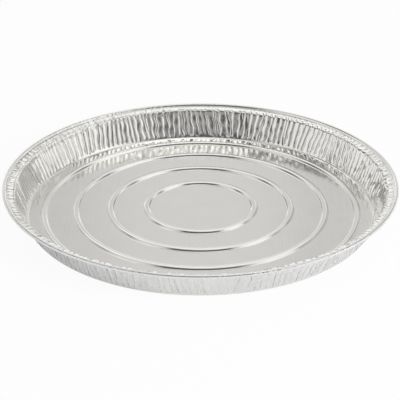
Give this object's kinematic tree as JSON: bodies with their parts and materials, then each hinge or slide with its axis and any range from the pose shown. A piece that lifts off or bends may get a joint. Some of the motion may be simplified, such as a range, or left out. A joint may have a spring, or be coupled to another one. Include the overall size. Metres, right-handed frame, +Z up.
{
  "type": "foil pie tin",
  "caption": "Shallow round foil pie tin with a pleated leaning wall, a crimped rim with a rolled edge, and concentric raised rings in its flat base.",
  "frame": {"origin": "centre of the tin's footprint, at the underside of its flat base", "axes": "+Z up through the centre of the base; +Y away from the viewer of the picture; +X to the viewer's right"},
  "size_m": [0.28, 0.28, 0.024],
  "materials": {
    "foil": "soft bright rolled foil"
  },
  "bodies": {
    "root": {"foil_tin": "foil"}
  },
  "joints": []
}
